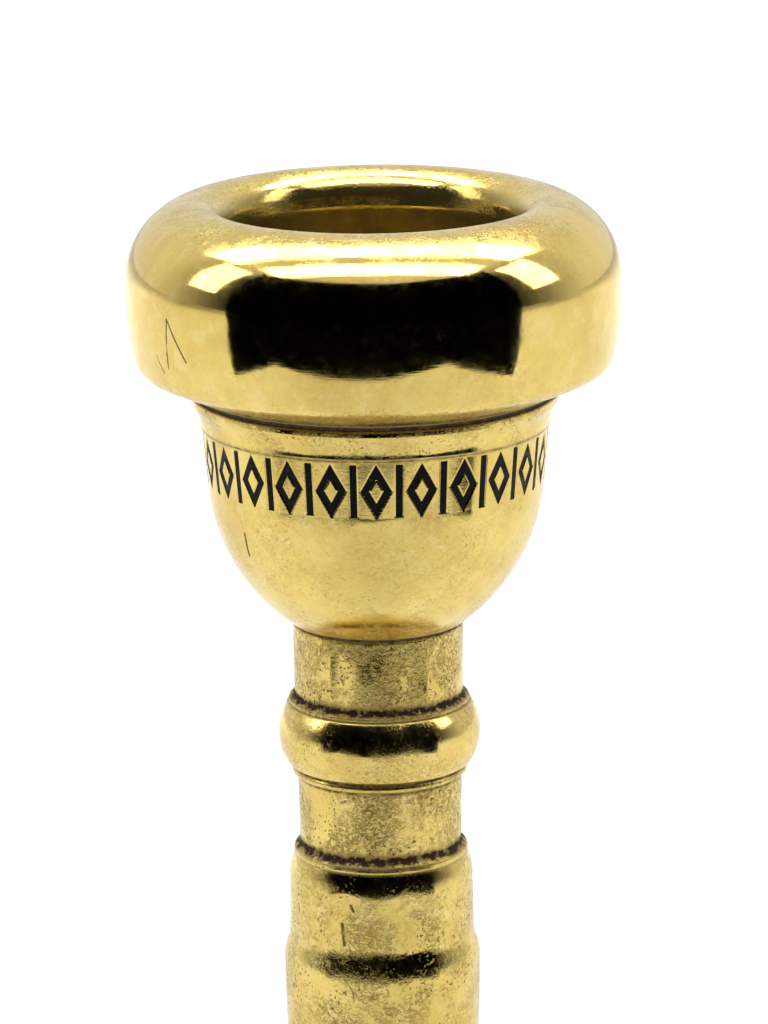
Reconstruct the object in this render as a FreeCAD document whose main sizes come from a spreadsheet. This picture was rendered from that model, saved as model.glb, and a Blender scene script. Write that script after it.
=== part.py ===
"""Brass trumpet mouthpiece with a screw rim and a screw stem, as a FreeCAD macro in millimetres.

The frame has its origin at the centre of the shank's end face, with +Z up the axis towards the rim.
Three turned brass pieces screw together: the rim on the cup, and the cup on the stem. A thin dark
washer seals each joint. A band of plain marks, filled with black enamel, is engraved round the cup.
Both threads are right-handed, so a piece turned anticlockwise seen from above comes off upwards.
"""

import FreeCAD, Part
import math
import os
import re

import Sketcher

Vector = FreeCAD.Vector
UP = Vector(0, 0, 1)
START, END = 1, 2
H_AXIS, V_AXIS = -1, -2

doc = FreeCAD.newDocument("Mouthpiece")
sheet = doc.addObject("Spreadsheet::Sheet", "Dims")

# Each cell is a length in mm or a plain count. A "depth" is measured down from the rim's crest,
# and a "radius" from the axis.
DIMENSIONS = {
    "Whole mouthpiece": {
        "total_length": 87.0,
        "rim_radius": 13.5,
    },
    "Rim": {
        "crest_radius": 9.6,
        "crest_arc": 3.4,
        "crest_end_radius": 11.037,
        "crest_end_depth": 0.319,
        "brow_arc": 4.266,
        "belly_top_depth": 4.185,
        "belly_depth": 5.6,
        "side_arc": 14.0,
        "edge_top_radius": 13.16,
        "edge_top_depth": 8.35,
        "edge_arc": 1.15,
        "edge_low_radius": 12.45,
        "edge_low_depth": 9.26,
        "underside_radius": 10.06,
        "seat_depth": 10.34,
        "rim_wall_radius": 7.7,
        "rim_wall_depth": 4.65,
        "mouth_radius": 7.8,
        "mouth_depth": 2.0,
        "bite_radius": 7.958,
        "bite_depth": 1.26,
        "bite_arc": 1.7,
    },
    "Rim thread": {
        "rim_pitch": 1.0,
        "rim_male_radius": 9.0,
        "rim_male_root": 8.45,
        "rim_male_width": 0.22,
        "rim_female_radius": 8.55,
        "rim_female_root": 9.1,
        "rim_female_width": 0.26,
        "rim_undercut_radius": 8.38,
        "rim_undercut_depth": 9.7,
        "rim_relief_radius": 9.2,
        "rim_relief_depth": 5.5,
        "rim_thread_depth": 9.98,
        "spigot_top_depth": 4.75,
    },
    "Cup outside": {
        "collar_radius": 10.05,
        "collar_low_depth": 11.0,
        "cove_top_radius": 9.94,
        "cove_top_depth": 11.18,
        "cove_arc": 1.6,
        "cove_low_radius": 9.62,
        "cove_low_depth": 12.2,
        "wall_top_radius": 9.5,
        "wall_top_depth": 12.38,
        "wall_low_radius": 9.29,
        "wall_low_depth": 15.5,
        "bowl_outer_arc": 10.6,
        "cup_foot_radius": 4.95,
        "cup_foot_depth": 23.44,
    },
    "Cup inside": {
        "bowl_top_radius": 7.68,
        "bowl_inner_arc": 8.8,
        "bowl_low_radius": 3.54,
        "bowl_low_depth": 11.8,
        "throat_entry_arc": 3.47,
        "throat_radius": 1.83,
        "throat_top_depth": 14.79,
        "socket_floor_depth": 18.7,
    },
    "Stem thread": {
        "stem_pitch": 1.0,
        "stem_male_radius": 3.5,
        "stem_male_root": 3.05,
        "stem_male_width": 0.2,
        "stem_female_radius": 3.17,
        "stem_female_root": 3.62,
        "stem_female_width": 0.38,
        "stem_undercut_radius": 3.0,
        "stem_undercut_depth": 22.78,
        "socket_relief_radius": 3.72,
        "socket_relief_depth": 19.6,
        "stem_thread_depth": 23.14,
        "stem_top_depth": 18.85,
    },
    "Stem outside": {
        "neck_depth": 23.62,
        "neck_radius": 4.7,
        "neck_low_radius": 4.66,
        "ring_ledge_depth": 27.86,
        "ring_ledge_radius": 4.98,
        "ring_start_radius": 5.08,
        "ring_start_depth": 28.12,
        "ring_arc": 3.1,
        "ring_end_radius": 5.06,
        "ring_end_depth": 31.56,
        "lip_top_radius": 4.78,
        "lip_top_depth": 31.8,
        "lip_arc": 0.24,
        "lip_low_radius": 4.72,
        "lip_low_depth": 32.22,
        "waist_top_radius": 4.54,
        "waist_low_radius": 4.48,
        "step_depth": 36.42,
        "step_lip_radius": 4.82,
        "step_lip_depth": 36.72,
        "step_arc": 1.3,
        "step_end_radius": 5.07,
        "step_end_depth": 37.6,
        "shoulder_radius": 5.12,
        "shoulder_depth": 41.1,
        "shoulder_arc": 2.2,
        "swell_radius": 5.27,
        "swell_depth": 42.0,
        "swell_arc": 3.0,
        "shank_radius": 5.44,
        "shank_depth": 43.4,
        "taper_depth": 44.2,
        "tip_radius": 4.33,
        "tip_rounding": 0.15,
    },
    "Backbore": {
        "backbore_depth": 29.0,
        "backbore_arc": 1500.0,
        "bore_exit_radius": 3.68,
    },
    "Seals": {
        "rim_seal_thickness": 0.22,
        "rim_seal_inner": 9.14,
        "rim_seal_outer": 9.9,
        "stem_seal_inner": 3.64,
        "stem_seal_outer": 4.62,
    },
    "Engraved band": {
        "mark_count": 24,
        "mark_depth": 13.98,
        "mark_radius": 9.392,
        "mark_length": 2.9,
        "mark_stroke": 0.34,
        "lozenge_width": 1.6,
        "groove_depth": 0.16,
        "groove_reach": 0.6,
        "enamel_thickness": 0.11,
    },
    "Edges": {
        "edge_break": 0.1,
        "thread_lead": 0.5,
    },
}


def fill_sheet():
    """Writes every dimension as a row of the spreadsheet, with its name as the cell's alias."""
    row = 1
    for heading, cells in DIMENSIONS.items():
        sheet.set(f"A{row}", heading)
        row += 1
        for name, value in cells.items():
            sheet.set(f"A{row}", name)
            sheet.set(f"B{row}", str(value))
            sheet.setAlias(f"B{row}", name)
            row += 1
    doc.recompute()


def bound(formula):
    """The formula with each dimension's name pointing at its cell in the sheet."""
    return re.sub(r"[a-z]\w*(?!\w*\()", lambda word: "Dims." + word.group(), formula)


def value(formula):
    """The formula's number now."""
    return float(sheet.evalExpression(formula))


def below(depth):
    """A height above the shank's end, given as a depth below the crest."""
    return f"total_length - ({depth})"


def arc_between(a, b, radius, left):
    """The arc of this radius from a to b that bulges to the left or right of the way there."""
    chord = b - a
    half = chord.Length / 2
    across = Vector(-chord.y, chord.x, 0).normalize()
    side = -1 if left else 1
    centre = (a + b) * 0.5 + across * (side * math.sqrt(max(radius**2 - half**2, 0.0)))
    circle = Part.Circle(centre, UP, radius)
    from_a, from_b = circle.parameter(a), circle.parameter(b)
    if left:
        return Part.ArcOfCircle(circle, from_b, from_a), True
    return Part.ArcOfCircle(circle, from_a, from_b), False


def origin_plane(body, role):
    """One of a body's own origin planes."""
    return next(f for f in body.Origin.OriginFeatures if f.Role == role)


def new_sketch(body, name, role="XZ_Plane"):
    sketch = body.newObject("Sketcher::SketchObject", name)
    sketch.AttachmentSupport = [(origin_plane(body, role), "")]
    sketch.MapMode = "FlatFace"
    return sketch


def bind(sketch, kind, refs, formula, label):
    """Adds one dimension to the sketch and ties it to the sheet."""
    number = value(formula)
    index = sketch.addConstraint(Sketcher.Constraint(kind, *refs, number))
    sketch.renameConstraint(index, label)
    sketch.setExpression(f"Constraints.{label}", bound(formula))


def draw_outline(sketch, outline):
    """Draws a closed outline and ties each of its points and arcs to the sheet.

    Each entry is (radius, height) or (radius, height, arc radius, "left" or "right"), where the
    arc runs from this point to the next one and bulges to that side of the way.
    """
    points = [Vector(value(e[0]), value(e[1]), 0) for e in outline]
    starts, ends = [], []
    for i, entry in enumerate(outline):
        a, b = points[i], points[(i + 1) % len(points)]
        if len(entry) == 2:
            edge, turned = Part.LineSegment(a, b), False
        else:
            edge, turned = arc_between(a, b, value(entry[2]), entry[3] == "left")
        index = sketch.addGeometry(edge, False)
        starts.append((index, END if turned else START))
        ends.append((index, START if turned else END))
    for i, entry in enumerate(outline):
        previous = ends[i - 1]
        sketch.addConstraint(Sketcher.Constraint("Coincident", *previous, *starts[i]))
        bind(sketch, "DistanceX", starts[i], entry[0], f"radius_{i}")
        if abs(points[i].y) < 1e-9:
            sketch.addConstraint(Sketcher.Constraint("PointOnObject", *starts[i], H_AXIS))
        else:
            bind(sketch, "DistanceY", starts[i], entry[1], f"height_{i}")
        if len(entry) > 2:
            bind(sketch, "Radius", (starts[i][0],), entry[2], f"arc_{i}")
    return sketch


def new_body(label):
    body = doc.addObject("PartDesign::Body", label)
    body.Label = label
    return body


def turn(body, outline, name):
    """Turns an outline about Z into a solid, as on a lathe."""
    sketch = draw_outline(new_sketch(body, name + "_profile"), outline)
    revolution = body.newObject("PartDesign::Revolution", name)
    revolution.Profile = sketch
    revolution.ReferenceAxis = (sketch, ["V_Axis"])
    revolution.Angle = 360
    sketch.Visibility = False
    doc.recompute()
    return revolution


def cut_thread(body, name, root, mouth, width, pitch, first, last, outward):
    """Cuts a right-hand helical groove upwards, from one depth below the crest to another.

    The groove is width wide at its root and opens at 60 degrees in all towards the mouth, where
    the profile goes a little past the metal. outward is true for a nut thread.
    """
    past, flank = 0.15, 0.57735
    reach = f"{mouth} - {past}" if outward else f"{mouth} + {past}"
    spread = f"abs({root} - ({reach})) * {flank}"
    low = below(first)
    outline = [
        (root, f"{low} - {width} / 2"),
        (reach, f"{low} - {width} / 2 - {spread}"),
        (reach, f"{low} + {width} / 2 + {spread}"),
        (root, f"{low} + {width} / 2"),
    ]
    sketch = draw_outline(new_sketch(body, name + "_profile"), outline)
    groove = body.newObject("PartDesign::SubtractiveHelix", name)
    groove.Profile = sketch
    groove.ReferenceAxis = (sketch, ["V_Axis"])
    groove.Mode = "pitch-height-angle"
    groove.setExpression("Pitch", bound(pitch))
    groove.setExpression("Height", bound(f"({first}) - ({last})"))
    groove.LeftHanded = False
    groove.Reversed = False
    sketch.Visibility = False
    doc.recompute()
    return groove


def make_rim():
    """The rim: the ring that the lips press on, with a threaded recess in its underside."""
    body = new_body("rim")
    turn(
        body,
        [
            ("crest_radius", below("0"), "crest_arc", "left"),
            ("crest_end_radius", below("crest_end_depth"), "brow_arc", "left"),
            ("rim_radius", below("belly_top_depth")),
            ("rim_radius", below("belly_depth"), "side_arc", "left"),
            ("edge_top_radius", below("edge_top_depth"), "edge_arc", "left"),
            ("edge_low_radius", below("edge_low_depth")),
            ("underside_radius + edge_break", below("seat_depth - edge_break")),
            ("underside_radius", below("seat_depth")),
            ("rim_female_root + edge_break", below("seat_depth")),
            ("rim_female_radius", below("seat_depth - thread_lead")),
            ("rim_female_radius", below("rim_relief_depth")),
            ("rim_relief_radius", below("rim_relief_depth - edge_break")),
            ("rim_relief_radius", below("rim_wall_depth")),
            ("rim_wall_radius", below("rim_wall_depth")),
            ("mouth_radius", below("mouth_depth")),
            ("bite_radius", below("bite_depth"), "bite_arc", "left"),
        ],
        "rim_blank",
    )
    cut_thread(
        body,
        "rim_thread",
        "rim_female_root",
        "rim_female_radius",
        "rim_female_width",
        "rim_pitch",
        "rim_thread_depth + 1.5 * rim_pitch",
        "rim_relief_depth - 0.22",
        outward=True,
    )
    return body


def make_cup():
    """The cup: the bowl and the top of the throat, threaded outside at its top and inside below."""
    body = new_body("cup")
    turn(
        body,
        [
            ("bowl_top_radius", below("spigot_top_depth")),
            ("rim_male_root", below("spigot_top_depth")),
            ("rim_male_radius", below("spigot_top_depth + thread_lead")),
            ("rim_male_radius", below("rim_undercut_depth - edge_break")),
            ("rim_undercut_radius", below("rim_undercut_depth")),
            ("rim_undercut_radius", below("seat_depth + rim_seal_thickness")),
            ("collar_radius - edge_break", below("seat_depth + rim_seal_thickness")),
            ("collar_radius", below("seat_depth + rim_seal_thickness + edge_break")),
            ("collar_radius", below("collar_low_depth")),
            ("cove_top_radius", below("cove_top_depth"), "cove_arc", "right"),
            ("cove_low_radius", below("cove_low_depth")),
            ("wall_top_radius", below("wall_top_depth")),
            ("wall_low_radius", below("wall_low_depth"), "bowl_outer_arc", "left"),
            ("cup_foot_radius", below("cup_foot_depth - edge_break")),
            ("cup_foot_radius - edge_break", below("cup_foot_depth")),
            ("stem_female_root + edge_break", below("cup_foot_depth")),
            ("stem_female_radius", below("cup_foot_depth - thread_lead")),
            ("stem_female_radius", below("socket_relief_depth")),
            ("socket_relief_radius", below("socket_relief_depth - edge_break")),
            ("socket_relief_radius", below("socket_floor_depth")),
            ("throat_radius", below("socket_floor_depth")),
            ("throat_radius", below("throat_top_depth"), "throat_entry_arc", "left"),
            ("bowl_low_radius", below("bowl_low_depth"), "bowl_inner_arc", "right"),
        ],
        "cup_blank",
    )
    cut_thread(
        body,
        "cup_rim_thread",
        "rim_male_root",
        "rim_male_radius",
        "rim_male_width",
        "rim_pitch",
        "rim_thread_depth",
        "spigot_top_depth - rim_pitch",
        outward=False,
    )
    cut_thread(
        body,
        "cup_socket_thread",
        "stem_female_root",
        "stem_female_radius",
        "stem_female_width",
        "stem_pitch",
        "stem_thread_depth + 1.5 * stem_pitch",
        "socket_relief_depth - 0.33",
        outward=True,
    )
    return body


def make_stem():
    """The stem: the threaded spigot, the neck, the ring and the tapered shank, bored right through."""
    body = new_body("stem")
    turn(
        body,
        [
            ("throat_radius", below("stem_top_depth")),
            ("stem_male_root", below("stem_top_depth")),
            ("stem_male_radius", below("stem_top_depth + thread_lead")),
            ("stem_male_radius", below("stem_undercut_depth - edge_break")),
            ("stem_undercut_radius", below("stem_undercut_depth")),
            ("stem_undercut_radius", below("neck_depth")),
            ("neck_radius - edge_break", below("neck_depth")),
            ("neck_radius", below("neck_depth + edge_break")),
            ("neck_low_radius", below("ring_ledge_depth")),
            ("ring_ledge_radius", below("ring_ledge_depth")),
            ("ring_ledge_radius", below("ring_start_depth")),
            ("ring_start_radius", below("ring_start_depth"), "ring_arc", "left"),
            ("ring_end_radius", below("ring_end_depth")),
            ("lip_top_radius", below("lip_top_depth"), "lip_arc", "left"),
            ("lip_low_radius", below("lip_low_depth")),
            ("waist_top_radius", below("lip_low_depth")),
            ("waist_low_radius", below("step_depth")),
            ("step_lip_radius - edge_break", below("step_depth")),
            ("step_lip_radius", below("step_lip_depth"), "step_arc", "left"),
            ("step_end_radius", below("step_end_depth")),
            ("shoulder_radius", below("shoulder_depth"), "shoulder_arc", "right"),
            ("swell_radius", below("swell_depth"), "swell_arc", "left"),
            ("shank_radius", below("shank_depth")),
            ("shank_radius", below("taper_depth")),
            ("tip_radius", "tip_rounding", "tip_rounding", "left"),
            ("tip_radius - tip_rounding", "0"),
            ("bore_exit_radius", "0", "backbore_arc", "right"),
            ("throat_radius", below("backbore_depth")),
        ],
        "stem_blank",
    )
    cut_thread(
        body,
        "stem_thread",
        "stem_male_root",
        "stem_male_radius",
        "stem_male_width",
        "stem_pitch",
        "stem_thread_depth",
        "stem_top_depth - stem_pitch",
        outward=False,
    )
    return body


def make_washer(label, inner, outer, top, bottom):
    """A flat sealing washer between two depths."""
    body = new_body(label)
    turn(
        body,
        [
            (inner, below(bottom)),
            (outer, below(bottom)),
            (outer, below(top)),
            (inner, below(top)),
        ],
        label + "_ring",
    )
    return body


def draw_polygon(sketch, corners, prefix):
    """Draws a closed polygon round the sketch's own origin and ties its corners to the sheet."""
    points = [Vector(value(x), value(y), 0) for x, y in corners]
    count = len(points)
    lines = [
        sketch.addGeometry(Part.LineSegment(points[i], points[(i + 1) % count]), False)
        for i in range(count)
    ]
    for i, (x, y) in enumerate(corners):
        sketch.addConstraint(Sketcher.Constraint("Coincident", lines[i - 1], END, lines[i], START))
        for kind, name, formula in (("DistanceX", "x", x), ("DistanceY", "y", y)):
            if abs(value(formula)) < 1e-9:
                axis = V_AXIS if name == "x" else H_AXIS
                sketch.addConstraint(Sketcher.Constraint("PointOnObject", lines[i], START, axis))
            else:
                bind(sketch, kind, (lines[i], START), formula, f"{prefix}_{name}_{i}")


def mark_sketch(body, name, steps):
    """A sketch on the floor of one engraved mark, turned this many half steps round the axis."""
    sketch = new_sketch(body, name)
    wall_angle = math.degrees(
        math.atan2(
            value("wall_top_radius - wall_low_radius"), value("wall_low_depth - wall_top_depth")
        )
    )
    angle = 180 * steps / value("mark_count")
    floor = value("mark_radius - groove_depth")
    turned = FreeCAD.Rotation(Vector(0, 1, 0), angle)
    place = turned.multVec(Vector(0, 0, floor)) + Vector(0, value(below("mark_depth")), 0)
    sketch.AttachmentOffset = FreeCAD.Placement(
        place, turned.multiply(FreeCAD.Rotation(Vector(1, 0, 0), wall_angle))
    )
    return sketch


def lozenge(sketch):
    """A lozenge drawn in one even stroke."""
    width, length = "lozenge_width / 2", "mark_length / 2"
    slope = "(mark_stroke * sqrt(lozenge_width ^ 2 + mark_length ^ 2))"
    outer = [(width, "0"), ("0", length), (f"-({width})", "0"), ("0", f"-({length})")]
    across = f"{width} - {slope} / mark_length"
    along = f"{length} - {slope} / lozenge_width"
    inner = [(across, "0"), ("0", along), (f"-({across})", "0"), ("0", f"-({along})")]
    draw_polygon(sketch, outer, "outer")
    draw_polygon(sketch, inner, "inner")
    return sketch


def bar(sketch):
    """An upright bar."""
    width, length = "mark_stroke / 2", "mark_length / 2"
    left, low = f"-({width})", f"-({length})"
    draw_polygon(sketch, [(width, length), (left, length), (left, low), (width, low)], "bar")
    return sketch


MARKS = (("lozenge", lozenge, 0), ("bar", bar, 1))


def origin_axis(body):
    return next(f for f in body.Origin.OriginFeatures if f.Role == "Z_Axis")


def repeat_round(body, feature, name):
    """Repeats a feature evenly round the axis and makes that the body's result."""
    pattern = body.newObject("PartDesign::PolarPattern", name)
    pattern.Originals = [feature]
    pattern.Axis = (origin_axis(body), [""])
    pattern.Angle = 360
    pattern.setExpression("Occurrences", "Dims.mark_count")
    body.Tip = pattern
    doc.recompute()


def engrave(body):
    """Cuts the band of marks into the cup's wall."""
    for name, shape, steps in MARKS:
        sketch = shape(mark_sketch(body, f"{name}_floor", steps))
        pocket = body.newObject("PartDesign::Pocket", f"{name}_pocket")
        pocket.Profile = sketch
        pocket.setExpression("Length", "Dims.groove_reach")
        pocket.Reversed = True
        doc.recompute()
        repeat_round(body, pocket, f"{name}_pockets")
        sketch.Visibility = False


def make_fill():
    """The black enamel in the engraved marks, one body for each kind of mark."""
    bodies = []
    for name, shape, steps in MARKS:
        body = new_body(f"{name}_enamel")
        body.AllowCompound = True
        sketch = shape(mark_sketch(body, f"{name}_bed", steps))
        pad = body.newObject("PartDesign::Pad", f"{name}_pad")
        pad.Profile = sketch
        pad.setExpression("Length", "Dims.enamel_thickness")
        doc.recompute()
        repeat_round(body, pad, f"{name}_pads")
        sketch.Visibility = False
        bodies.append(body)
    fill = doc.addObject("Part::Compound", "engraving_fill")
    fill.Label = "engraving_fill"
    fill.Links = bodies
    doc.recompute()
    return fill


fill_sheet()
cup = make_cup()
engrave(cup)
PARTS = [
    make_rim(),
    make_washer(
        "rim_seal", "rim_seal_inner", "rim_seal_outer", "seat_depth", "seat_depth + rim_seal_thickness"
    ),
    cup,
    make_fill(),
    make_washer("stem_seal", "stem_seal_inner", "stem_seal_outer", "cup_foot_depth", "neck_depth"),
    make_stem(),
]
doc.recompute()

wrong = [o.Name for o in doc.Objects if {"Invalid", "Error"} & set(o.State)]
if wrong:
    raise SystemExit(f"objects in error: {wrong}")

os.makedirs("parts", exist_ok=True)
for part in PARTS:
    shape = part.Shape
    if shape.isNull() or not shape.isValid():
        raise SystemExit(f"{part.Label}: the shape is not valid")
    part.Placement = FreeCAD.Placement()
    shape.exportStep(f"parts/{part.Label}.step")
    print(f"{part.Label}: {len(shape.Solids)} solids, {shape.Volume:.3f} mm3")
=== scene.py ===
"""A brass trumpet mouthpiece: polished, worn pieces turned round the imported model.

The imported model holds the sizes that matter. Each turned piece is made again here from nearly the
same outline, with softened edges, threads and engraved marks. Every piece stands for its CAD node.
Outlines are in millimetres, as (radius, depth below the rim's crest).
"""

import math

import bpy
import numpy as np
from mathutils import Matrix, Vector


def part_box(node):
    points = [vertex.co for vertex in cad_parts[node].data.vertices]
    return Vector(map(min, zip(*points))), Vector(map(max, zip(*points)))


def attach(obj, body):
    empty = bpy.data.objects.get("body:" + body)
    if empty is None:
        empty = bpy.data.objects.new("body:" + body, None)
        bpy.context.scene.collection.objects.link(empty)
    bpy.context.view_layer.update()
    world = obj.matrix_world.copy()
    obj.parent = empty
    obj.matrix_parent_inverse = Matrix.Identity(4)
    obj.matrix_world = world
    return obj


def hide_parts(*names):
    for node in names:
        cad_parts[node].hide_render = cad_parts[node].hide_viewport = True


MM = 0.001
TAU = 2 * math.pi

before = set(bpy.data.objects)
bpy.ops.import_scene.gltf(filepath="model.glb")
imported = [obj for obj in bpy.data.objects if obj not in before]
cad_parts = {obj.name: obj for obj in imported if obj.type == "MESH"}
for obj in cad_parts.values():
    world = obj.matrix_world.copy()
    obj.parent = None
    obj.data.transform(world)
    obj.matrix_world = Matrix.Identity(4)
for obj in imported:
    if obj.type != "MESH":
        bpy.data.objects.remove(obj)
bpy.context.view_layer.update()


def top(node):
    """How far the top of a CAD node is below the rim's crest, in mm."""
    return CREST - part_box(node)[1].z / MM


def foot(node):
    """How far the bottom of a CAD node is below the rim's crest, in mm."""
    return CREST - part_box(node)[0].z / MM


def radius(node):
    """A CAD node's greatest radius, in mm."""
    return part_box(node)[1].x / MM


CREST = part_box("rim")[1].z / MM

# ---------------------------------------------------------------- sizes, in mm

RIM_RADIUS = radius("rim")
SEAT = foot("rim")
COLLAR_TOP = foot("rim_seal")
SPIGOT_TOP = top("cup")
CUP_FOOT = foot("cup")
NECK_TOP = foot("stem_seal")
STEM_TOP = top("stem")
STEM_FOOT = foot("stem")

CREST_RADIUS = 9.6
THROAT_RADIUS = 1.83
BORE_EXIT_RADIUS = 3.68
TIP_RADIUS = 4.33

PITCH = 1.0
FLANK = math.tan(math.radians(30))
THREAD_TOLERANCE = 0.02
RIM_THREAD_DATUM = 9.98
RIM_FEMALE_TOP = 5.5
RIM_MALE_FOOT = 9.7
STEM_THREAD_DATUM = 23.14
STEM_FEMALE_TOP = 19.6
STEM_MALE_FOOT = 22.78
RIM_MALE = dict(crest=9.0, root=8.45, width=0.22, shift=0.0)
RIM_FEMALE = dict(crest=8.55, root=9.1, width=0.26, shift=0.5)
STEM_MALE = dict(crest=3.5, root=3.05, width=0.2, shift=0.0)
STEM_FEMALE = dict(crest=3.17, root=3.62, width=0.38, shift=0.5)

WALL_TOP = (9.5, 12.38)
WALL_LOW = (9.22, 15.5)
MARK_COUNT = 24
MARK_DEPTH = 13.98
MARK_LENGTH = 2.9
MARK_STROKE = 0.34
LOZENGE_WIDTH = 1.6
MARK_STEP = TAU / MARK_COUNT
GROOVE_DEPTH = 0.15
GROOVE_EDGE = 0.035
ENAMEL_INSET = 0.035
ENAMEL_SPARE = 0.03

# A span where an outline needs detail is (top depth, foot depth, least radius, greatest radius).
BAND_MARGIN = MARK_LENGTH / 2 + 0.15
BAND = (MARK_DEPTH - BAND_MARGIN, MARK_DEPTH + BAND_MARGIN, 9.2, 9.7)
RIM_THREAD_SPAN = (5.3, SEAT, 8.4, 9.15)
RIM_SPIGOT_SPAN = (SPIGOT_TOP + 0.4, 9.65, 8.9, 9.1)
CUP_SOCKET_SPAN = (19.5, CUP_FOOT, 3.1, 3.3)
STEM_SPIGOT_SPAN = (STEM_TOP + 0.4, 22.75, 3.4, 3.6)

RIM_SEGMENTS = 384
CUP_SEGMENTS = 1080
STEM_SEGMENTS = 384
WASHER_SEGMENTS = 256

# ---------------------------------------------------------------- outlines


def arc_points(a, b, arc_radius, left, gap):
    """Points from a to just before b on the arc that bulges to the left or right of the way there."""
    a, b = np.array(a, float), np.array(b, float)
    chord = b - a
    half = np.hypot(*chord) / 2
    normal = np.array([-chord[1], chord[0]]) / (2 * half)
    side = -1 if left else 1
    centre = (a + b) / 2 + normal * side * math.sqrt(max(arc_radius**2 - half**2, 0))
    start = math.atan2(*(a - centre)[::-1])
    sweep = 2 * math.asin(min(1, half / arc_radius)) * side
    steps = max(3, math.ceil(abs(sweep) * arc_radius / gap))
    turns = start + sweep * np.arange(steps) / steps
    return centre + arc_radius * np.stack([np.cos(turns), np.sin(turns)], 1)


def line_points(a, b, gap):
    """Points from a to just before b on a straight line."""
    a, b = np.array(a, float), np.array(b, float)
    steps = max(1, math.ceil(np.hypot(*(b - a)) / gap))
    return a + (b - a) * (np.arange(steps) / steps)[:, None]


def trace(outline, gap=0.16, soft=0.05, fine=()):
    """A closed outline as evenly spaced points (radius, height), with its corners softened.

    Each entry is (radius, depth) or (radius, depth, arc radius, "left" or "right"), and the arc
    runs from this point to the next. Within the spans in fine, the points lie closer together.
    """
    corners = [(entry[0], CREST - entry[1]) for entry in outline]
    points, corner_at = [], []
    for i, entry in enumerate(outline):
        a, b = corners[i], corners[(i + 1) % len(corners)]
        corner_at.append(len(points))
        if len(entry) == 4:
            points.extend(arc_points(a, b, entry[2], entry[3] == "left", gap))
        else:
            points.extend(line_points(a, b, gap))
    points = np.array(points)
    return refine(soften(points, corner_at, soft), fine)


def soften(points, corner_at, soft, sharp=0.2):
    """Replaces each corner that bends more than this with a curve that starts and ends near it."""
    count = len(points)
    out = []
    for i in range(count):
        before, here, after = points[i - 1], points[i], points[(i + 1) % count]
        a, b = here - before, after - here
        length_a, length_b = np.hypot(*a), np.hypot(*b)
        bend = math.acos(np.clip((a @ b) / (length_a * length_b), -1, 1))
        if i in corner_at and bend > sharp:
            p = here - a / length_a * min(soft, length_a * 0.45)
            q = here + b / length_b * min(soft, length_b * 0.45)
            for t in (0, 0.25, 0.5, 0.75, 1):
                out.append((1 - t) ** 2 * p + 2 * t * (1 - t) * here + t * t * q)
        else:
            out.append(here)
    return np.array(out)


def refine(points, fine, gap=0.04):
    """Adds points where an outline passes through a span that needs detail."""
    out = []
    for i, here in enumerate(points):
        after = points[(i + 1) % len(points)]
        out.append(here)
        middle = (here + after) / 2
        for low, high, inner, outer in fine:
            if low < CREST - middle[1] < high and inner < middle[0] < outer:
                steps = math.ceil(np.hypot(*(after - here)) / gap)
                out.extend(here + (after - here) * k / steps for k in range(1, steps))
                break
    return np.array(out)


# ---------------------------------------------------------------- turned pieces


def thread_cut(form, datum, z, angle):
    """How deep the thread's groove is at a height and an angle, in mm."""
    height = abs(form["crest"] - form["root"])
    turns = (z - (CREST - datum)) / PITCH - form["shift"] - angle / TAU
    off = np.abs((turns + 0.5) % 1 - 0.5) * PITCH
    return np.clip((form["width"] / 2 + height * FLANK - off) / FLANK, 0, height)


def threaded(radii, z, angle, form, datum, low, high):
    """The radii of a piece's points, with a thread cut in those that lie on its crest."""
    on_crest = np.abs(radii - form["crest"]) < THREAD_TOLERANCE
    on_crest = on_crest & (z > CREST - high) & (z < CREST - low)
    side = np.sign(form["root"] - form["crest"])
    return np.where(on_crest, radii + side * thread_cut(form, datum, z, angle), radii)


def smooth(low, high, value):
    """A smooth ramp from 0 at low to 1 at high."""
    t = np.clip((value - low) / (high - low), 0, 1)
    return t * t * (3 - 2 * t)


def ridge(value, centre, width):
    """A soft bump of height 1 at centre."""
    return np.exp(-(((value - centre) / width) ** 2))


def lathe(name, points, segments, body, cut=None, paint=None):
    """Turns a closed outline about Z into a mesh, and lays it on its body.

    cut changes the radii of the points, and paint gives each point its wear, and its dirt, stain and
    painted shade.
    """
    rings = len(points)
    angle = np.linspace(0, TAU, segments, endpoint=False)[None, :]
    radii = np.repeat(points[:, :1], segments, 1)
    z = np.repeat(points[:, 1:], segments, 1)
    if cut:
        radii = cut(radii, z, angle)
    verts = np.stack([radii * np.cos(angle), radii * np.sin(angle), z], 2).reshape(-1, 3) * MM
    ring, column = np.meshgrid(np.arange(rings), np.arange(segments), indexing="ij")
    row, next_row = ring * segments, (ring + 1) % rings * segments
    next_column = (column + 1) % segments
    corners = [row + column, next_row + column, next_row + next_column, row + next_column]
    faces = np.stack(corners, 2).reshape(-1, 4)
    if volume(verts, faces) < 0:
        faces = faces[:, ::-1]
    mesh = bpy.data.meshes.new(name)
    mesh.vertices.add(len(verts))
    mesh.vertices.foreach_set("co", verts.ravel())
    mesh.loops.add(faces.size)
    mesh.loops.foreach_set("vertex_index", faces.ravel())
    mesh.polygons.add(len(faces))
    mesh.polygons.foreach_set("loop_start", np.arange(0, faces.size, 4))
    mesh.update(calc_edges=True)
    for attribute, values in (paint(points[:, 0], CREST - points[:, 1]) if paint else {}).items():
        layer = mesh.attributes.new(attribute, "FLOAT", "POINT")
        layer.data.foreach_set("value", np.repeat(values, segments).astype(np.float32))
    return place(name, mesh, body)


def volume(verts, faces):
    """A measure of the volume within a closed mesh, below 0 if its faces look inwards."""
    a, b, c, d = (verts[faces[:, k]] for k in range(4))
    return float((a * np.cross(b, c)).sum() + (a * np.cross(c, d)).sum())


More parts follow.
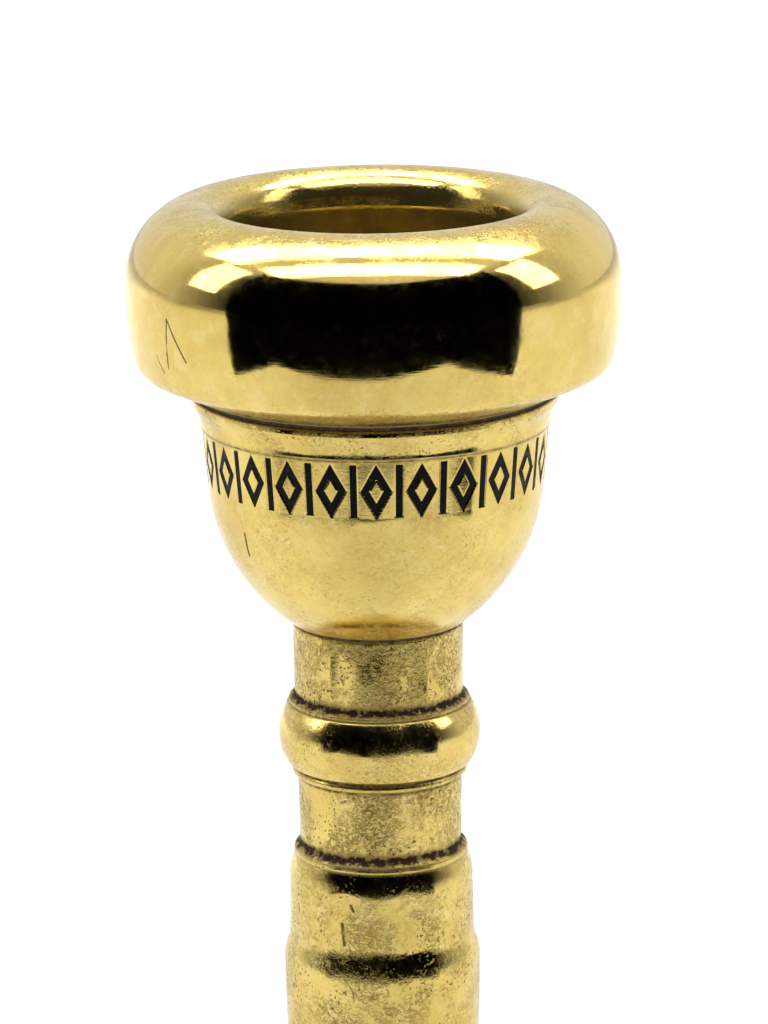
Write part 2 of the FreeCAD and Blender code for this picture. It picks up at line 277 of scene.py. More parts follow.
def place(name, mesh, body, sharp=38):
    """Makes an object of a mesh, shades it smooth but for its sharp edges, and lays it on a body."""
    obj = bpy.data.objects.new(name, mesh)
    bpy.context.scene.collection.objects.link(obj)
    mesh.polygons.foreach_set("use_smooth", [True] * len(mesh.polygons))
    mesh.set_sharp_from_angle(angle=math.radians(sharp))
    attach(obj, body)
    return obj


# ---------------------------------------------------------------- engraved band


def wall_radius(depth):
    """The radius of the cup's wall at a depth in the engraved band."""
    share = (depth - WALL_TOP[1]) / (WALL_LOW[1] - WALL_TOP[1])
    return WALL_TOP[0] + (WALL_LOW[0] - WALL_TOP[0]) * share


def mark_depth_map(z, angle):
    """How deep the engraving is at each point, with softly broken edges."""
    local = (angle + TAU / 4 + MARK_STEP / 2) % MARK_STEP - MARK_STEP / 2
    x = local * wall_radius(MARK_DEPTH)
    y = z - (CREST - MARK_DEPTH)
    slope = math.hypot(LOZENGE_WIDTH, MARK_LENGTH)
    edge = 1 - np.abs(x) / (LOZENGE_WIDTH / 2) - np.abs(y) / (MARK_LENGTH / 2)
    from_edge = edge * LOZENGE_WIDTH * MARK_LENGTH / (2 * slope)
    lozenge = np.minimum(from_edge, MARK_STROKE - from_edge)
    across = MARK_STROKE / 2 - (MARK_STEP / 2 - np.abs(local)) * wall_radius(MARK_DEPTH)
    bar = np.minimum(across, MARK_LENGTH / 2 - np.abs(y))
    return GROOVE_DEPTH * smooth(-GROOVE_EDGE, GROOVE_EDGE, np.maximum(lozenge, bar))


def add_slab(verts, faces, rails, turn, closed):
    """Adds a thin curved slab to a mesh, lying between two rails in the wall.

    The rails are given as pairs of (across, along) points in mm, round the angle turn. A closed
    slab is a ring, and an open one has an end at its first and last pair.
    """
    start, count = len(verts), len(rails)
    for pair in rails:
        for x, y in pair:
            depth = MARK_DEPTH - y
            for inset in (ENAMEL_INSET, GROOVE_DEPTH):
                r = wall_radius(depth) - inset
                a = turn - TAU / 4 + x / wall_radius(MARK_DEPTH)
                verts.append((r * math.cos(a) * MM, r * math.sin(a) * MM, (CREST - depth) * MM))
    for k in range(count if closed else count - 1):
        p, q = start + 4 * k, start + 4 * ((k + 1) % count)
        faces.append((p, q, q + 2, p + 2))
        faces.append((p + 1, p + 3, q + 3, q + 1))
        faces.append((p, p + 1, q + 1, q))
        faces.append((p + 2, q + 2, q + 3, p + 3))
    if not closed:
        last = start + 4 * (count - 1)
        faces.append((start, start + 2, start + 3, start + 1))
        faces.append((last + 1, last + 3, last + 2, last))


def lozenge_rails():
    """The outer and inner edge of a lozenge frame, point by point all the way round."""
    width, length = LOZENGE_WIDTH / 2, MARK_LENGTH / 2
    per_mm = math.hypot(width, length) / (width * length)
    out = 1 + ENAMEL_SPARE * per_mm
    into = 1 - (MARK_STROKE + ENAMEL_SPARE) * per_mm
    corners = [(width, 0), (0, length), (-width, 0), (0, -length)]
    rails = []
    for c, (x0, y0) in enumerate(corners):
        x1, y1 = corners[(c + 1) % 4]
        for t in (0, 0.25, 0.5, 0.75):
            x, y = x0 + (x1 - x0) * t, y0 + (y1 - y0) * t
            rails.append(((x * out, y * out), (x * into, y * into)))
    return rails


def enamel_mesh():
    """The black filling of every mark: one slab for each lozenge frame and each upright bar."""
    verts, faces = [], []
    lozenge = lozenge_rails()
    half = MARK_STROKE / 2 + ENAMEL_SPARE
    bar = [((-half, y), (half, y)) for y in np.linspace(-MARK_LENGTH / 2, MARK_LENGTH / 2, 5)]
    for k in range(MARK_COUNT):
        add_slab(verts, faces, lozenge, k * MARK_STEP, True)
        add_slab(verts, faces, bar, k * MARK_STEP + MARK_STEP / 2, False)
    mesh = bpy.data.meshes.new("engraving_fill")
    mesh.from_pydata(verts, [], faces)
    mesh.update()
    return mesh


# ---------------------------------------------------------------- outlines of the pieces

RIM = [
    (CREST_RADIUS, 0, 3.4, "left"),
    (11.037, 0.319, 4.266, "left"),
    (RIM_RADIUS, 4.185),
    (RIM_RADIUS, 5.6, 14.0, "left"),
    (13.16, 8.35, 1.15, "left"),
    (12.45, 9.26),
    (10.16, SEAT - 0.1),
    (10.06, SEAT),
    (RIM_FEMALE["root"] + 0.1, SEAT),
    (RIM_FEMALE["crest"], SEAT - 0.5),
    (RIM_FEMALE["crest"], RIM_FEMALE_TOP),
    (9.2, 5.4),
    (9.2, 4.65),
    (7.7, 4.65),
    (7.8, 2.0),
    (7.958, 1.26, 1.7, "left"),
]

CUP = [
    (7.68, SPIGOT_TOP),
    (RIM_MALE["root"], SPIGOT_TOP),
    (RIM_MALE["crest"], SPIGOT_TOP + 0.5),
    (RIM_MALE["crest"], RIM_MALE_FOOT - 0.1),
    (8.38, RIM_MALE_FOOT),
    (8.38, COLLAR_TOP),
    (9.95, COLLAR_TOP),
    (10.05, COLLAR_TOP + 0.1),
    (10.05, 10.92),
    (9.94, 11.14, 1.6, "right"),
    (9.62, 12.2),
    (9.6, 12.3),
    (WALL_TOP[0], WALL_TOP[1]),
    (WALL_LOW[0], WALL_LOW[1], 10.6, "left"),
    (4.95, CUP_FOOT - 0.1),
    (4.85, CUP_FOOT),
    (STEM_FEMALE["root"] + 0.1, CUP_FOOT),
    (STEM_FEMALE["crest"], CUP_FOOT - 0.5),
    (STEM_FEMALE["crest"], STEM_FEMALE_TOP),
    (3.72, 19.5),
    (3.72, 18.7),
    (THROAT_RADIUS, 18.7),
    (THROAT_RADIUS, 14.79, 3.47, "left"),
    (3.54, 11.8, 8.8, "right"),
]

STEM = [
    (THROAT_RADIUS, STEM_TOP),
    (STEM_MALE["root"], STEM_TOP),
    (STEM_MALE["crest"], STEM_TOP + 0.5),
    (STEM_MALE["crest"], STEM_MALE_FOOT - 0.1),
    (3.0, STEM_MALE_FOOT),
    (3.0, NECK_TOP),
    (4.6, NECK_TOP),
    (4.7, NECK_TOP + 0.1),
    (4.66, 27.52, 0.36, "right"),
    (4.94, 27.87),
    (4.98, 27.9),
    (4.99, 28.06),
    (4.94, 28.12),
    (5.08, 28.16, 3.1, "left"),
    (5.06, 31.56),
    (4.7, 31.74),
    (4.79, 31.84, 0.24, "left"),
    (4.73, 32.2),
    (4.54, 32.3),
    (4.48, 36.06, 0.4, "right"),
    (4.76, 36.43),
    (4.82, 36.56),
    (4.84, 36.78),
    (4.8, 36.84, 3.5, "left"),
    (5.09, 38.2),
    (5.12, 41.1, 2.2, "right"),
    (5.27, 42.0, 3.0, "left"),
    (5.44, 43.4),
    (5.44, 44.2),
    (TIP_RADIUS, STEM_FOOT - 0.15, 0.15, "left"),
    (TIP_RADIUS - 0.15, STEM_FOOT),
    (BORE_EXIT_RADIUS, STEM_FOOT, 1500, "right"),
    (THROAT_RADIUS, 29.0),
]


def washer(node, inner):
    """The points of a flat washer that fills its CAD node's space."""
    outer = radius(node)
    outline = [(outer, top(node)), (outer, foot(node)), (inner, foot(node)), (inner, top(node))]
    return trace(outline, gap=0.1, soft=0.04)


# ---------------------------------------------------------------- wear, dirt and painted shade

# Here r is a point's radius and d its depth, in mm. The three values that a mesh carries at each
# point are strengths, where 0 is clean and about 1 is full.


def rim_paint(r, d):
    """Where the rim is worn, where dirt and painted shade lie at its seat, and where its inside is
    darkened with stain and painted shade.
    """
    wear = 0.15 + 0.6 * ridge(d, 0.0, 0.9) + 0.75 * smooth(8.3, 9.4, d)
    wear = np.where((r < 9.2) & (d > 0.3), 0.45, wear)
    # Dirt at the seat, and painted shade on the rim's underside near it.
    grime = np.where(r > 9.7, 0.7 * ridge(d, SEAT, 0.1) + 0.3 * ridge(d, 9.75, 0.3), 0)
    # The inside is darkened with stain and painted shade.
    return {"wear": wear, "grime": grime, "stain": smooth(8.5, 8.0, r)}


def cup_paint(r, d):
    """Where the cup is worn, where dirt and painted shade lie in its lines, and where its inside is
    darkened with stain and painted shade.
    """
    outside = (r > 3.9) & (d > COLLAR_TOP - 0.05)
    wear = 0.4 + 0.5 * smooth(12.6, 10.4, d) + 0.3 * smooth(20, 24, d) - 0.2 * ridge(d, 14.0, 1.2)
    wear = np.where(outside, wear, 0.6)
    # Dirt and painted shade lie in the lines at the joints, and the inside is darkened with stain and
    # painted shade.
    lines = 0.6 * ridge(d, COLLAR_TOP, 0.08) + 0.7 * ridge(d, 12.32, 0.1)
    lines = lines + 0.3 * ridge(d, CUP_FOOT, 0.1)
    return {"wear": wear, "grime": np.where(outside, lines, 0), "stain": np.where(outside, 0, 1)}


# Dirt and painted shade in the stem's corners, as (depth, how far it spreads, how thick it is).
STEM_DIRT_AND_SHADE = (
    (NECK_TOP, 0.08, 0.25),
    (27.66, 0.24, 1.3),
    (28.12, 0.07, 0.5),
    (31.76, 0.1, 0.8),
    (32.3, 0.1, 0.8),
    (36.2, 0.28, 1.4),
    (36.84, 0.06, 0.4),
)


def stem_paint(r, d):
    """Where the stem is worn, and where dirt and painted shade lie in its lines and corners."""
    neck = smooth(28.2, 27.8, d) + smooth(31.7, 32.3, d) * smooth(36.6, 36.2, d)
    wear = 0.6 + 0.4 * neck + 0.2 * smooth(38, 40, d) - 0.15 * ridge(d, 29.8, 1.2)
    # Dirt and painted shade in the corners and lines; the broad bands in the corners are painted shade.
    lines = sum(thick * ridge(d, depth, spread) for depth, spread, thick in STEM_DIRT_AND_SHADE)
    outside = (r > 4.2) & (d > NECK_TOP - 0.05)
    wear = np.where(outside, wear, 0.95)
    return {"wear": wear, "grime": np.where(outside, lines, 0), "stain": 0 * d}


# Scratches, each a straight stroke from one (degrees from the front, depth) to another, with its
# width in mm.
RIM_SCRATCHES = (
    ((-54.5, 4.8), (-55.2, 7.5), 0.09),
    ((-54.5, 4.8), (-48.0, 6.9), 0.09),
    ((-60.0, 7.0), (-57.5, 7.9), 0.06),
)
CUP_SCRATCHES = (
    ((-52.5, 17.2), (-53.5, 18.5), 0.12),
)
STEM_SCRATCHES = (
    ((-25.5, 39.7), (-24.0, 40.9), 0.14),
    ((-19.5, 38.6), (-18.0, 38.9), 0.12),
)


# ---------------------------------------------------------------- materials


class Nodes:
    """A short way to write a node tree."""

    def __init__(self, tree):
        self.tree = tree

    def new(self, kind, **settings):
        """A new node of this kind, with these settings."""
        node = self.tree.nodes.new(kind)
        for key, value in settings.items():
            setattr(node, key, value)
        return node

    def feed(self, socket, value):
        """Links an output to a socket, or sets the socket to a plain value."""
        if isinstance(value, bpy.types.NodeSocket):
            self.tree.links.new(value, socket)
        else:
            socket.default_value = value

    def coordinates(self, output):
        """Where the point is, in one of the ways that Blender gives it."""
        return self.new("ShaderNodeTexCoord").outputs[output]

    def math(self, operation, a, b=0.0, clamp=False):
        """One step of arithmetic."""
        node = self.new("ShaderNodeMath", operation=operation, use_clamp=clamp)
        self.feed(node.inputs[0], a)
        self.feed(node.inputs[1], b)
        return node.outputs[0]

    def ramp(self, value, low, high, out_low=0.0, out_high=1.0):
        """Maps low..high to out_low..out_high smoothly, and holds beyond."""
        node = self.new("ShaderNodeMapRange", interpolation_type="SMOOTHSTEP")
        self.feed(node.inputs["Value"], value)
        node.inputs["From Min"].default_value = low
        node.inputs["From Max"].default_value = high
        node.inputs["To Min"].default_value = out_low
        node.inputs["To Max"].default_value = out_high
        return node.outputs["Result"]

    def mix(self, share, a, b):
        """Mixes two colours."""
        node = self.new("ShaderNodeMix", data_type="RGBA")
        self.feed(node.inputs[0], share)
        self.feed(node.inputs[6], (*a, 1) if isinstance(a, tuple) else a)
        self.feed(node.inputs[7], (*b, 1) if isinstance(b, tuple) else b)
        return node.outputs[2]

    def vector(self, operation, a, b, output=0):
        """One step of vector arithmetic. For SCALE, b is a plain number or a socket that gives one."""
        node = self.new("ShaderNodeVectorMath", operation=operation)
        self.feed(node.inputs[0], a)
        self.feed(node.inputs["Scale" if operation == "SCALE" else 1], b)
        return node.outputs[output]

    def split(self, vector):
        """The three parts of a vector."""
        node = self.new("ShaderNodeSeparateXYZ")
        self.feed(node.inputs[0], vector)
        return node.outputs

    def front_angle(self, x, y):
        """The angle in radians from straight in front, either way round the upright axis."""
        return self.math("ARCTAN2", self.math("ABSOLUTE", x), self.math("MULTIPLY", y, -1.0))


class Surface(Nodes):
    """The node tree of a new material."""

    def __init__(self, name):
        self.material = bpy.data.materials.new(name)
        self.material.use_nodes = True
        super().__init__(self.material.node_tree)
        self.shader = self.tree.nodes["Principled BSDF"]
        self.here = self.coordinates("Object")

    def scaled(self, x, y, z):
        """The place on the object in mm, stretched along each axis."""
        node = self.new("ShaderNodeMapping")
        node.inputs["Scale"].default_value = (x / MM, y / MM, z / MM)
        self.feed(node.inputs["Vector"], self.here)
        return node.outputs[0]

    def noise(self, scale, detail=3.0, rough=0.55, stretch=(1, 1, 1), distortion=0.0):
        """Cloudy noise with this many features a millimetre."""
        node = self.new("ShaderNodeTexNoise")
        self.feed(node.inputs["Vector"], self.scaled(*stretch))
        node.inputs["Scale"].default_value = scale
        node.inputs["Detail"].default_value = detail
        node.inputs["Roughness"].default_value = rough
        node.inputs["Distortion"].default_value = distortion
        return node.outputs["Fac"]

    def unrolled(self, around):
        """The place on a turned piece as (mm round it from the front, height in mm)."""
        x, y, z = self.split(self.scaled(1, 1, 1))
        angle = self.math("ARCTAN2", x, self.math("MULTIPLY", y, -1.0))
        joined = self.new("ShaderNodeCombineXYZ")
        self.feed(joined.inputs[0], self.math("MULTIPLY", angle, around))
        self.feed(joined.inputs[1], z)
        return joined.outputs[0]

    def scratches(self, strokes, around):
        """A mask of straight scratches on a turned piece of this radius."""
        here = self.unrolled(around)
        mask = 0.0
        for start, end, width in strokes:
            (ax, ay), (bx, by) = (
                (math.radians(degrees) * around, CREST - depth) for degrees, depth in (start, end)
            )
            along = (bx - ax, by - ay, 0.0)
            square = along[0] ** 2 + along[1] ** 2
            offset = self.vector("SUBTRACT", here, (ax, ay, 0.0))
            share = self.vector("DOT_PRODUCT", offset, tuple(c / square for c in along), output="Value")
            share = self.math("ADD", share, 0.0, clamp=True)
            nearest = self.vector("SCALE", along, share)
            gap = self.vector("DISTANCE", offset, nearest, output="Value")
            mask = self.math("MAXIMUM", self.ramp(gap, width * 0.3, width, 1.0, 0.0), mask)
        return mask

    def attribute(self, name):
        """A value that the mesh carries at each point."""
        return self.new("ShaderNodeAttribute", attribute_name=name).outputs["Fac"]

    def bump(self, height, strength, distance, normal=None):
        """The normal of a surface with a relief this many mm high."""
        node = self.new("ShaderNodeBump")
        node.inputs["Distance"].default_value = distance * MM
        self.feed(node.inputs["Strength"], strength)
        self.feed(node.inputs["Height"], height)
        if normal:
            self.feed(node.inputs["Normal"], normal)
        return node.outputs["Normal"]


GOLD = (0.87, 0.67, 0.205)
PALE_GOLD = (0.92, 0.74, 0.31)
DEEP_GOLD = (0.72, 0.50, 0.13)
BROWN = (0.26, 0.125, 0.03)
OLIVE = (0.30, 0.235, 0.06)
STAIN_AND_SHADE = (0.13, 0.105, 0.03)
DIRT_AND_SHADE = (0.03, 0.012, 0.004)
ENAMEL_BLACK = (0.004, 0.0035, 0.003)
ENAMEL_CHIP = (0.06, 0.04, 0.015)


def base_tone(n):
    """Polished gold with deeper and paler clouds in it."""
    deep = n.ramp(n.noise(0.28, 4, 0.6), 0.32, 0.7)
    colour = n.mix(n.math("MULTIPLY", deep, 0.75), GOLD, DEEP_GOLD)
    pale = n.ramp(n.noise(0.75, 4, 0.65), 0.5, 0.68)
    return n.mix(n.math("MULTIPLY", pale, 0.5), colour, PALE_GOLD)


def mottling(n, dull):
    """A mask of worm-like lines and grains, kept to the dull patches."""
    worms = n.math("ABSOLUTE", n.math("SUBTRACT", n.noise(1.8, 3, 0.6, distortion=0.9), 0.5))
    worms = n.ramp(worms, 0.0, 0.055, 1.0, 0.0)
    grain = n.ramp(n.noise(4.2, 4, 0.7), 0.46, 0.64)
    both = n.math("MAXIMUM", n.math("MULTIPLY", worms, 0.85), grain)
    return n.math("MULTIPLY", both, dull, clamp=True)


def brown_spots(n, wear):
    """A mask of specks, closer together in some worn places than in others."""
    specks = n.ramp(n.noise(5.5, 2, 0.5), 0.57, 0.67)
    spread = n.math("MULTIPLY", n.ramp(n.noise(0.5, 3, 0.6), 0.44, 0.6), wear, clamp=True)
    spread = n.math("ADD", spread, n.math("MULTIPLY", wear, 0.15))
    return n.math("MULTIPLY", specks, spread, clamp=True)


def soil_and_shade_mask(n, strokes, around):
    """A mask of the ragged dirt and painted shade in the lines, and of the scratches."""
    ragged = n.ramp(n.noise(2.4, 5, 0.7), 0.36, 0.6, 0.5, 1.15)
    lines = n.math("MULTIPLY", n.attribute("grime"), ragged, clamp=True)
    broken = n.ramp(n.noise(2.5, 3), 0.3, 0.5, 0.3, 0.85)
    return n.math("MAXIMUM", lines, n.math("MULTIPLY", n.scratches(strokes, around), broken))


def brass_roughness(n, polish, dull, mottle, spots, soil_and_shade):
    """Polished metal that is rougher where it is dull, mottled or spotted, and in the lines of dirt and
    painted shade.
    """
    rough = n.math("MULTIPLY", dull, 0.1)
    for mask, extra in ((mottle, 0.12), (spots, 0.25), (soil_and_shade, 0.5)):
        rough = n.math("ADD", rough, n.math("MULTIPLY", mask, extra))
    uneven = n.ramp(n.noise(1.7, 5, 0.7), 0.4, 0.75, polish, polish + 0.06)
    return n.math("MINIMUM", n.math("ADD", rough, uneven), 0.9)


def brass_normal(n, wear, mottle, spots):
    """Broad waves, fine marks from turning, and shallow pits where the metal is stained."""
    pits = n.math("SUBTRACT", 1.0, n.math("MAXIMUM", mottle, spots))
    normal = n.bump(n.noise(0.5, 2, 0.5), 0.35, 0.03)
    normal = n.bump(n.noise(0.9, 3, 0.5, stretch=(1, 1, 9)), 0.25, 0.006, normal)
    return n.bump(pits, n.math("MULTIPLY", wear, 0.7), 0.02, normal)


def brass(name, strokes, around, polish, tarnish):
    """Worn brass: patchy tone, olive mottling, brown specks, scratches, dirt and painted shade in the
    lines, and stain and painted shade inside.

    The scratches lie on a piece of radius around. polish is the least roughness, and tarnish is
    the strength of the mottling and specks.
    """
    n = Surface(name)
    wear, stain = n.attribute("wear"), n.attribute("stain")
    patches = n.ramp(n.noise(0.34, 5, 0.65, distortion=0.5), 0.36, 0.6)
    dull = n.math("MULTIPLY", patches, wear, clamp=True)
    mottle = mottling(n, dull)
    spots = brown_spots(n, wear)
    soil_and_shade = soil_and_shade_mask(n, strokes, around)

    colour = n.mix(n.math("MULTIPLY", mottle, 0.8 * tarnish, clamp=True), base_tone(n), OLIVE)
    colour = n.mix(n.math("MULTIPLY", spots, 0.85 * tarnish, clamp=True), colour, BROWN)
    # Stain and painted shade darken the inside; dirt and painted shade darken the lines, as do the
    # scratches.
    colour = n.mix(n.math("MULTIPLY", stain, 0.62), colour, STAIN_AND_SHADE)
    colour = n.mix(soil_and_shade, colour, DIRT_AND_SHADE)
    n.feed(n.shader.inputs["Base Color"], colour)

    covered = n.math("MAXIMUM", soil_and_shade, n.math("MULTIPLY", stain, 0.1))
    metal = n.math("SUBTRACT", 1.0, n.math("MULTIPLY", covered, 0.9))
    n.feed(n.shader.inputs["Metallic"], metal)
    n.shader.inputs["Specular IOR Level"].default_value = 0.15
    n.feed(n.shader.inputs["Roughness"], brass_roughness(n, polish, dull, mottle, spots, soil_and_shade))
    n.feed(n.shader.inputs["Normal"], brass_normal(n, wear, mottle, spots))
    return n.material


def enamel(name):
    """Black filling with a satin, slightly chipped surface."""
    n = Surface(name)
    chips = n.ramp(n.noise(4.0, 3, 0.6), 0.62, 0.72)
    n.feed(n.shader.inputs["Base Color"], n.mix(chips, ENAMEL_BLACK, ENAMEL_CHIP))
    n.shader.inputs["Specular IOR Level"].default_value = 0.15
    n.feed(n.shader.inputs["Roughness"], n.ramp(n.noise(2.5, 3), 0.3, 0.7, 0.35, 0.6))
    n.feed(n.shader.inputs["Normal"], n.bump(n.noise(6.0, 3), 0.5, 0.02))
    return n.material


def rubber(name, dark, light):
    """Brown rubber with residue on it."""
    n = Surface(name)
    crust = n.ramp(n.noise(1.6, 4, 0.7), 0.4, 0.65)
    n.feed(n.shader.inputs["Base Color"], n.mix(crust, dark, light))
    n.feed(n.shader.inputs["Roughness"], n.ramp(crust, 0.0, 1.0, 0.55, 0.85))
    n.feed(n.shader.inputs["Normal"], n.bump(n.noise(3.5, 4), 0.6, 0.04))
    return n.material


# ---------------------------------------------------------------- pieces


def cut_rim(r, z, a):
    """The rim's thread."""
    return threaded(r, z, a, RIM_FEMALE, RIM_THREAD_DATUM, RIM_FEMALE_TOP, SEAT)


def cut_cup(r, z, a):
    """The cup's two threads and its engraved band."""
    r = threaded(r, z, a, RIM_MALE, RIM_THREAD_DATUM, SPIGOT_TOP, RIM_MALE_FOOT)
    r = threaded(r, z, a, STEM_FEMALE, STEM_THREAD_DATUM, STEM_FEMALE_TOP, CUP_FOOT)
    band_top, band_foot, band_radius, _ = BAND
    on_band = (r > band_radius) & (z < CREST - band_top) & (z > CREST - band_foot)
    return np.where(on_band, r - mark_depth_map(z, a), r)


def cut_stem(r, z, a):
    """The stem's thread."""
    return threaded(r, z, a, STEM_MALE, STEM_THREAD_DATUM, STEM_TOP, STEM_MALE_FOOT)


rim_points = trace(RIM, fine=[RIM_THREAD_SPAN])
rim = lathe("rim_turned", rim_points, RIM_SEGMENTS, "rim", cut_rim, rim_paint)
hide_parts("rim")

cup_points = trace(CUP, fine=[BAND, RIM_SPIGOT_SPAN, CUP_SOCKET_SPAN])
cup = lathe("cup_turned", cup_points, CUP_SEGMENTS, "cup", cut_cup, cup_paint)
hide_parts("cup")

fill = place("engraving_enamel", enamel_mesh(), "cup", sharp=30)
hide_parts("engraving_fill")

stem_points = trace(STEM, fine=[STEM_SPIGOT_SPAN])
stem = lathe("stem_turned", stem_points, STEM_SEGMENTS, "stem", cut_stem, stem_paint)
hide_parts("stem")

seal_points = washer("rim_seal", inner=9.14)
rim_seal = lathe("rim_washer", seal_points, WASHER_SEGMENTS, "rim_seal")
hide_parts("rim_seal")

seal_points = washer("stem_seal", inner=3.64)
stem_seal = lathe("stem_washer", seal_points, WASHER_SEGMENTS, "stem_seal")
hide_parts("stem_seal")

for obj, material in (
    (rim, brass("rim_brass", RIM_SCRATCHES, around=RIM_RADIUS, polish=0.05, tarnish=0.8)),
    (cup, brass("cup_brass", CUP_SCRATCHES, around=WALL_LOW[0], polish=0.08, tarnish=0.9)),
    (stem, brass("stem_brass", STEM_SCRATCHES, around=5.0, polish=0.1, tarnish=1.1)),
    (fill, enamel("black_enamel")),
    (rim_seal, rubber("rim_rubber", dark=(0.04, 0.018, 0.006), light=(0.16, 0.08, 0.02))),
    (stem_seal, rubber("stem_rubber", dark=(0.07, 0.035, 0.012), light=(0.20, 0.12, 0.04))),
):
    obj.data.materials.append(material)

# ---------------------------------------------------------------- stage, in metres

FLOOR_SIZE = 3.0
# The grey near the object is painted shade, which shows in the object's reflections.
FLOOR_PAINTED_SHADE = (0.57, 0.57, 0.57)
FLOOR_WHITE = (0.95, 0.95, 0.95)
FLOOR_LIGHTENS_FROM = 0.1
FLOOR_LIGHTENS_TO = 0.45

# The open front of the light tent is a dark curved card, and the floor before it is in shade.
# Both show only in reflections.
CARD_DISTANCE = 0.16
CARD_SPREAD = math.radians(68)
CARD_HEIGHT = 0.265
CARD_STEPS = 90
HEM_BASE = 0.005
HEM_RISE = 0.02
HEM_PEAK = math.radians(-45)
HEM_WIDTH = math.radians(78)
SHADE_NEAR = 0.012
SHADE_FAR = CARD_DISTANCE + 0.05
SHADE_HEIGHT = 0.001
SHADE_SPREAD = math.radians(90)
SHADE_MIDDLE = 0.82
SHADE_SIDE = 1.02
SHADE_MIDDLE_END = math.radians(15)
SHADE_SIDE_START = math.radians(85)


def matt(name):
    """A black matt material."""
    n = Surface(name)
    n.shader.inputs["Base Color"].default_value = (0, 0, 0, 1)
    n.shader.inputs["Roughness"].default_value = 0.9
    n.shader.inputs["Specular IOR Level"].default_value = 0.0
    return n


def floor_material():
    """Matt grey that turns white some way behind the object. The grey is painted shade for the object's
    reflections.
    """
    n = matt("floor_white")
    _, y, _ = n.split(n.here)
    behind = n.ramp(y, FLOOR_LIGHTENS_FROM, FLOOR_LIGHTENS_TO)
    n.feed(n.shader.inputs["Base Color"], n.mix(behind, FLOOR_PAINTED_SHADE, FLOOR_WHITE))
    return n.material


def shade_material():
    """A glow that is dim in front of the object and brighter towards its sides."""
    n = Surface("dim")
    x, y, _ = n.split(n.here)
    angle = n.front_angle(x, y)
    strength = n.ramp(angle, SHADE_MIDDLE_END, SHADE_SIDE_START, SHADE_MIDDLE, SHADE_SIDE)
    glow = n.new("ShaderNodeEmission")
    n.feed(glow.inputs["Strength"], strength)
    n.feed(n.tree.nodes["Material Output"].inputs["Surface"], glow.outputs[0])
    return n.material


def stage_mesh(name, verts, faces, material):
    """Makes a piece of the stage."""
    mesh = bpy.data.meshes.new(name)
    mesh.from_pydata(verts, [], faces)
    obj = bpy.data.objects.new(name, mesh)
    bpy.context.scene.collection.objects.link(obj)
    mesh.materials.append(material)
    return obj


def hem(a):
    """How high the opening's lower edge hangs at an angle from the front: a few soft scallops."""
    return HEM_BASE + HEM_RISE * (1 - abs(math.sin(math.pi * (a - HEM_PEAK) / HEM_WIDTH)))


def sector(name, near, far, low, high, spread, material):
    """A strip curved round the object's front that shows only in reflections.

    It goes from one distance and height to another. The heights low and high depend on the angle.
    """
    verts, faces = [], []
    for k in range(CARD_STEPS + 1):
        a = spread * (2 * k / CARD_STEPS - 1)
        for distance, z in ((near, low(a)), (far, high(a))):
            verts.append((distance * math.sin(a), -distance * math.cos(a), z))
        if k:
            faces.append((2 * k - 2, 2 * k, 2 * k + 1, 2 * k - 1))
    obj = stage_mesh(name, verts, faces, material)
    obj.visible_camera = False
    obj.visible_diffuse = False
    obj.visible_shadow = False


def build_stage():
    """The floor, the dark opening of the tent and the shaded floor before it."""
    size = FLOOR_SIZE
    corners = [(-size, -size, 0), (size, -size, 0), (size, size, 0), (-size, size, 0)]
    stage_mesh("floor", corners, [(0, 1, 2, 3)], floor_material())
    sector(
        "tent_opening",
        near=CARD_DISTANCE,
        far=CARD_DISTANCE,
        low=hem,
        high=lambda a: CARD_HEIGHT,
        spread=CARD_SPREAD,
        material=matt("dark").material,
    )
    sector(
        "floor_shade",
        near=SHADE_NEAR,
        far=SHADE_FAR,
        low=lambda a: SHADE_HEIGHT,
        high=lambda a: SHADE_HEIGHT,
        spread=SHADE_SPREAD,
        material=shade_material(),
    )


build_stage()

# ---------------------------------------------------------------- light, in metres

CLOTH_BRIGHTNESS = 0.84
CLOTH_DARK_TO = math.radians(62)
CLOTH_BRIGHT_FROM = math.radians(128)
CLOTH_TOP_FROM = 0.6
CLOTH_TOP_TO = 0.85

LAMP_TARGET = (0, 0, CREST * MM * 0.85)


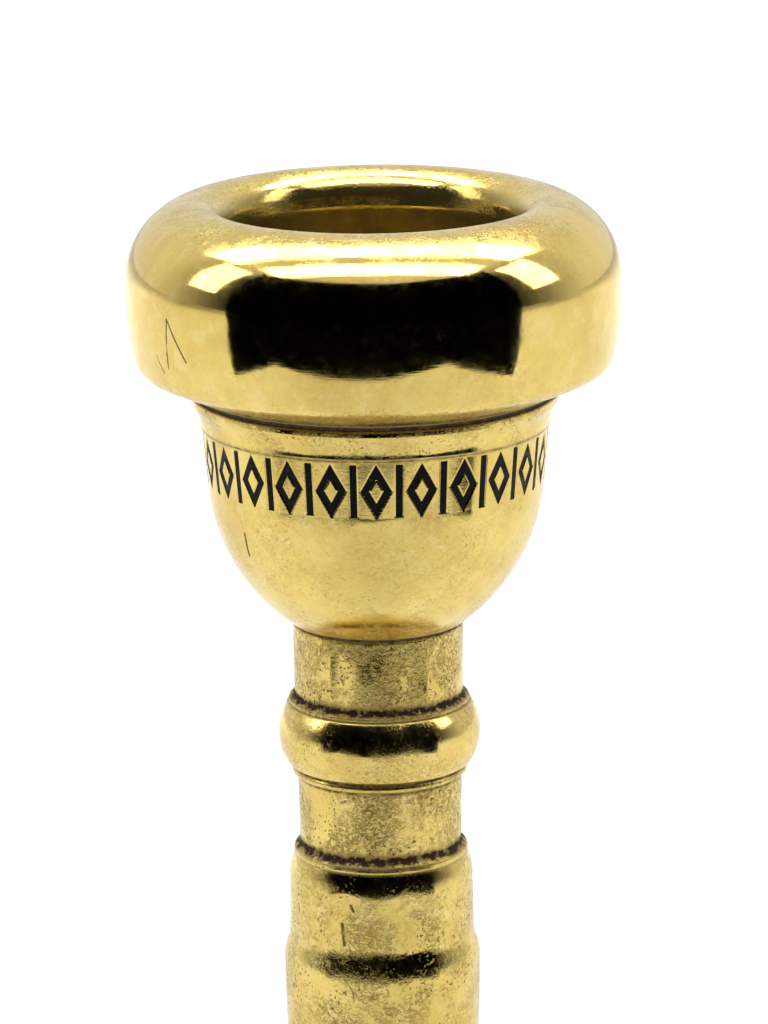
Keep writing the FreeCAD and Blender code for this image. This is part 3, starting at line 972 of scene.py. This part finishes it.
def light_tent():
    """The tent's cloth: dark beside its opening, and bright towards the back and the top."""
    world = bpy.data.worlds.new("tent")
    bpy.context.scene.world = world
    world.use_nodes = True
    n = Nodes(world.node_tree)
    x, y, height = n.split(n.coordinates("Generated"))
    side = n.ramp(n.front_angle(x, y), CLOTH_DARK_TO, CLOTH_BRIGHT_FROM)
    above = n.ramp(height, CLOTH_TOP_FROM, CLOTH_TOP_TO)
    background = n.tree.nodes["Background"]
    strength = n.math("MULTIPLY", n.math("MAXIMUM", side, above), CLOTH_BRIGHTNESS)
    n.feed(background.inputs["Strength"], strength)
    background.inputs["Color"].default_value = (1, 1, 1, 1)


def softbox(name, at, size, radiance):
    """A rectangular lamp of this brightness, aimed at the object."""
    data = bpy.data.lights.new(name, "AREA")
    data.shape = "RECTANGLE"
    data.size, data.size_y = size
    data.energy = radiance * math.pi * size[0] * size[1]
    obj = bpy.data.objects.new(name, data)
    bpy.context.scene.collection.objects.link(obj)
    obj.location = at
    obj.rotation_euler = (Vector(LAMP_TARGET) - Vector(at)).to_track_quat("-Z", "Y").to_euler()


light_tent()
softbox("overhead_back", at=(0, 0.171, 0.676), size=(1.1, 0.25), radiance=5.0)
softbox("overhead_front", at=(0, -0.186, 0.671), size=(0.9, 0.2), radiance=5.0)
for x in (-0.62, 0.62):
    softbox("side_lamp", at=(x, -0.02, 0.45), size=(0.22, 0.4), radiance=3.5)

# ---------------------------------------------------------------- camera

SENSOR_MM = 36.0
LENS_MM = 193.359375
SHIFT = 0.0072265625
ELEVATION = math.radians(14.4)
DISTANCE = 0.3018
AIM_DEPTH = 17.49
ROLL = math.radians(-0.76)

camera_data = bpy.data.cameras.new("camera")
camera_data.sensor_width = SENSOR_MM
camera_data.lens = LENS_MM
camera_data.shift_x = SHIFT
camera_data.clip_start = 0.01
camera = bpy.data.objects.new("camera", camera_data)
bpy.context.scene.collection.objects.link(camera)
aim = Vector((0, 0, (CREST - AIM_DEPTH) * MM))
away = Vector((0, -math.cos(ELEVATION), math.sin(ELEVATION)))
turn = away.to_track_quat("Z", "Y").to_matrix().to_4x4()
camera.matrix_world = Matrix.Translation(aim + away * DISTANCE) @ turn @ Matrix.Rotation(ROLL, 4, "Z")
bpy.context.scene.camera = camera
bpy.context.scene.view_settings.view_transform = "Standard"
